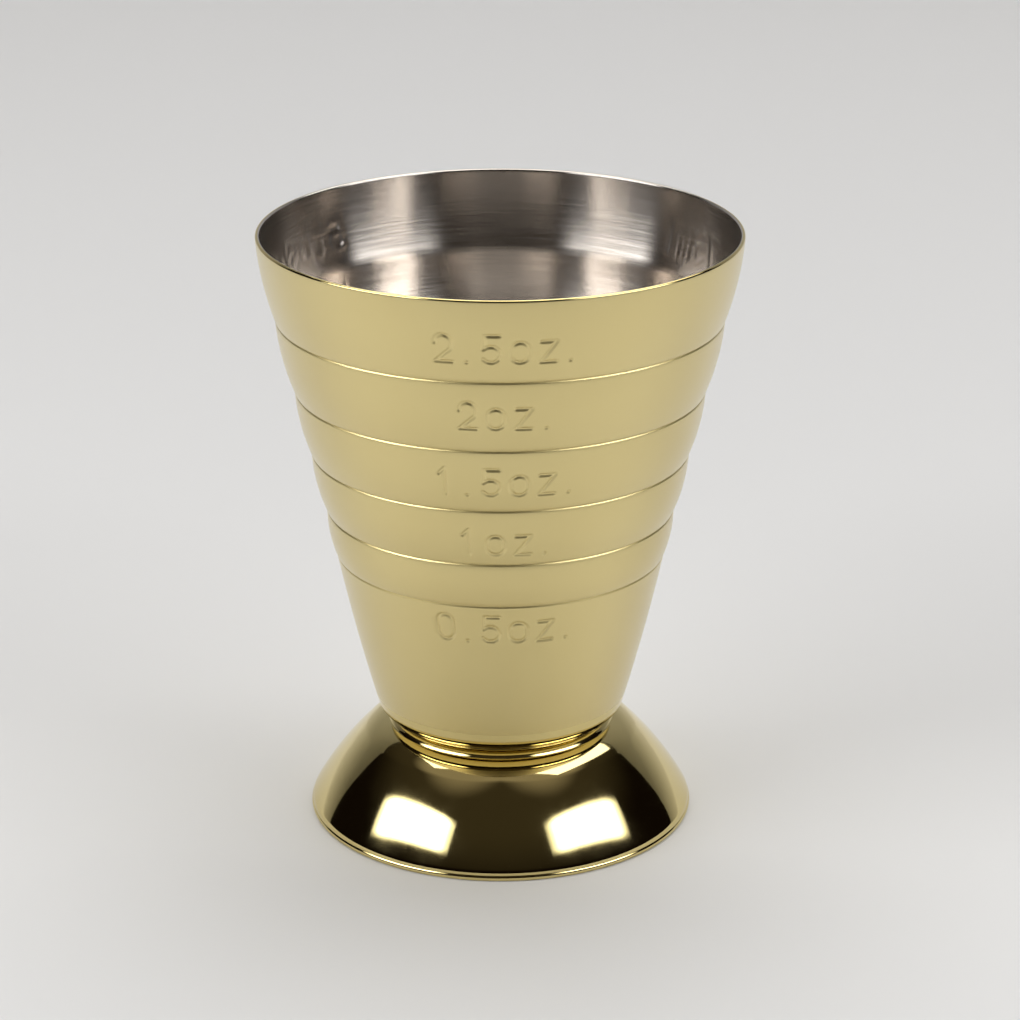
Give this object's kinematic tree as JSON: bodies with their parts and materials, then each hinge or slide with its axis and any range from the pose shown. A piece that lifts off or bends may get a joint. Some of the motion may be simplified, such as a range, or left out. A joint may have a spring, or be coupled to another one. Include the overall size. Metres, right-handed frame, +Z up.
{
  "type": "bar jigger",
  "caption": "Stepped bar jigger: one open cup with pressed-in volume lines and marks, joined to a flared, hollow foot.",
  "frame": {"origin": "centre of the circle that the foot stands on", "axes": "+Z up along the axis of the cup and the foot, -Y towards the ounce marks, +X to the right when they are read"},
  "size_m": [0.055, 0.055, 0.07],
  "materials": {
    "satin_gold_steel": "stainless sheet, fine satin with a champagne gold coating outside, bare and brushed round the axis inside",
    "mirror_gold_steel": "stainless sheet, mirror polished with the same gold coating",
    "weld_steel": "bare fused stainless steel, hidden between the two sheets"
  },
  "bodies": {
    "root": {"cup": "satin_gold_steel", "foot": "mirror_gold_steel", "spot_welds": "weld_steel"}
  },
  "joints": []
}
